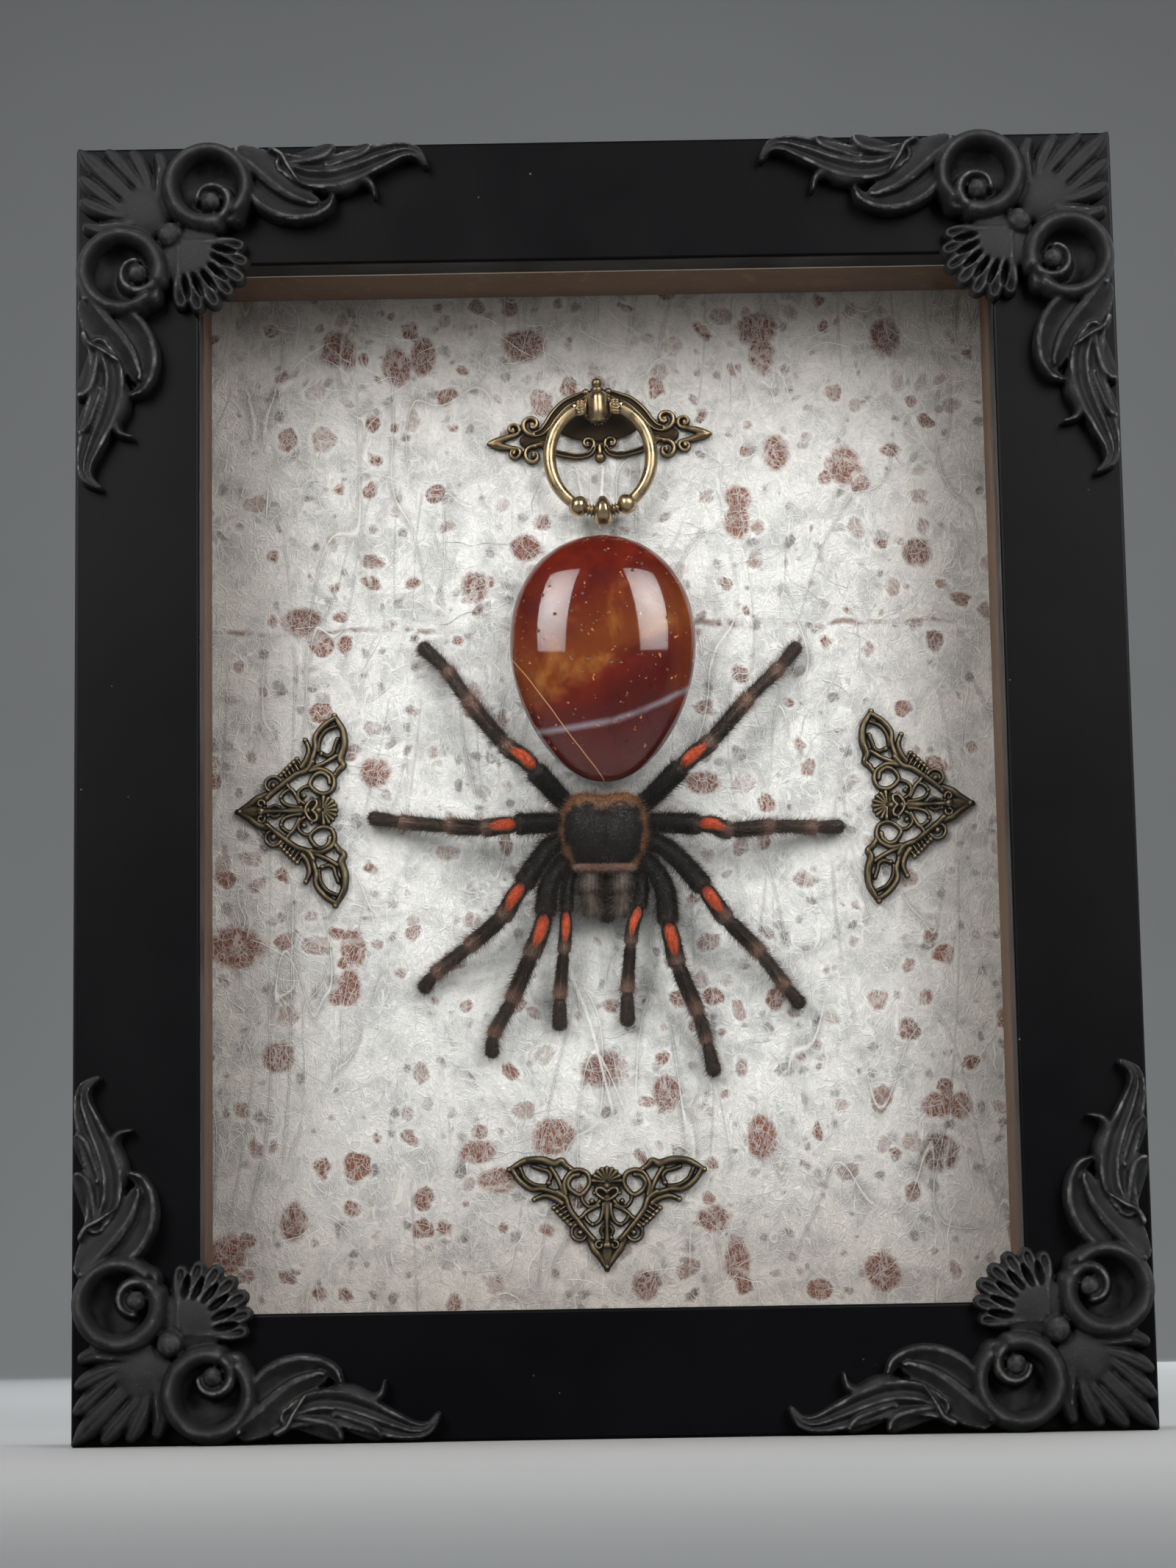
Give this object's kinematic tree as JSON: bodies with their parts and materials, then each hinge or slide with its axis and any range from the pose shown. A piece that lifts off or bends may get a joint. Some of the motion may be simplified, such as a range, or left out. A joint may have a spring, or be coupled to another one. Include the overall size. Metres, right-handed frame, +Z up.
{
  "type": "framed tarantula specimen",
  "caption": "Black shadow-box frame with scrolled corner castings, holding a dried tarantula with a polished stone abdomen on lace paper, with a brass ring pull and filigree.",
  "frame": {"origin": "middle of the underside of the whole object, on the surface that the frame stands on", "axes": "+Z up along the frame's height, -Y towards the viewer through the glass, +X to the viewer's right"},
  "size_m": [0.2666, 0.0558, 0.3302],
  "materials": {
    "black_paint": "satin black paint over a wooden moulding",
    "cast_resin": "chalky charcoal paint on cast resin, worn lighter along its edges",
    "clear_glass": "clear picture glass",
    "brown_board": "bare brown fibreboard with a pale cut front edge",
    "lace_paper": "white bark-fibre lace paper with round grey and rust-brown spots",
    "hardboard": "smooth brown hardboard",
    "antique_brass": "antiqued brass, dark in the recesses and polished on the high spots",
    "dark_bronze": "dark antique bronze stamping",
    "carnelian": "polished banded carnelian",
    "black_cuticle": "black cuticle under fine black, pink and orange hair",
    "grey_bristle": "grey-brown streaked bristle",
    "steel": "zinc plated steel"
  },
  "bodies": {
    "frame": {"backing_board": "hardboard", "backing_paper": "lace_paper", "cephalothorax": "black_cuticle", "chelicera_left": "grey_bristle", "chelicera_right": "grey_bristle", "corner_ornament_bottom_left": "cast_resin", "corner_ornament_bottom_right": "cast_resin", "corner_ornament_top_left": "cast_resin", "corner_ornament_top_right": "cast_resin", "filigree_bottom": "dark_bronze", "filigree_left": "dark_bronze", "filigree_right": "dark_bronze", "glass": "clear_glass", "hanger_nail_left": "steel", "hanger_nail_right": "steel", "leg_1_left": "black_cuticle", "leg_1_right": "black_cuticle", "leg_2_left": "black_cuticle", "leg_2_right": "black_cuticle", "leg_3_left": "black_cuticle", "leg_3_right": "black_cuticle", "leg_4_left": "black_cuticle", "leg_4_right": "black_cuticle", "palp_left": "black_cuticle", "palp_right": "black_cuticle", "pull_backplate": "antique_brass", "pull_post": "antique_brass", "rail_bottom": "black_paint", "rail_left": "black_paint", "rail_right": "black_paint", "rail_top": "black_paint", "sawtooth_hanger": "steel", "spacer_bottom": "brown_board", "spacer_left": "brown_board", "spacer_right": "brown_board", "spacer_top": "brown_board", "stone_abdomen": "carnelian", "tab_bottom": "steel", "tab_left_lower": "steel", "tab_left_upper": "steel", "tab_right_lower": "steel", "tab_right_upper": "steel", "tab_top": "steel"},
    "ring": {"pull_ring": "antique_brass"}
  },
  "joints": [
    {"name": "ring_swing", "type": "hinge", "parent": "frame", "child": "ring", "pos_m": [0.00017, 0.0116, 0.2672], "axis": [-0.9995, 0, -0.0314], "range_deg": [-3, 27]}
  ]
}
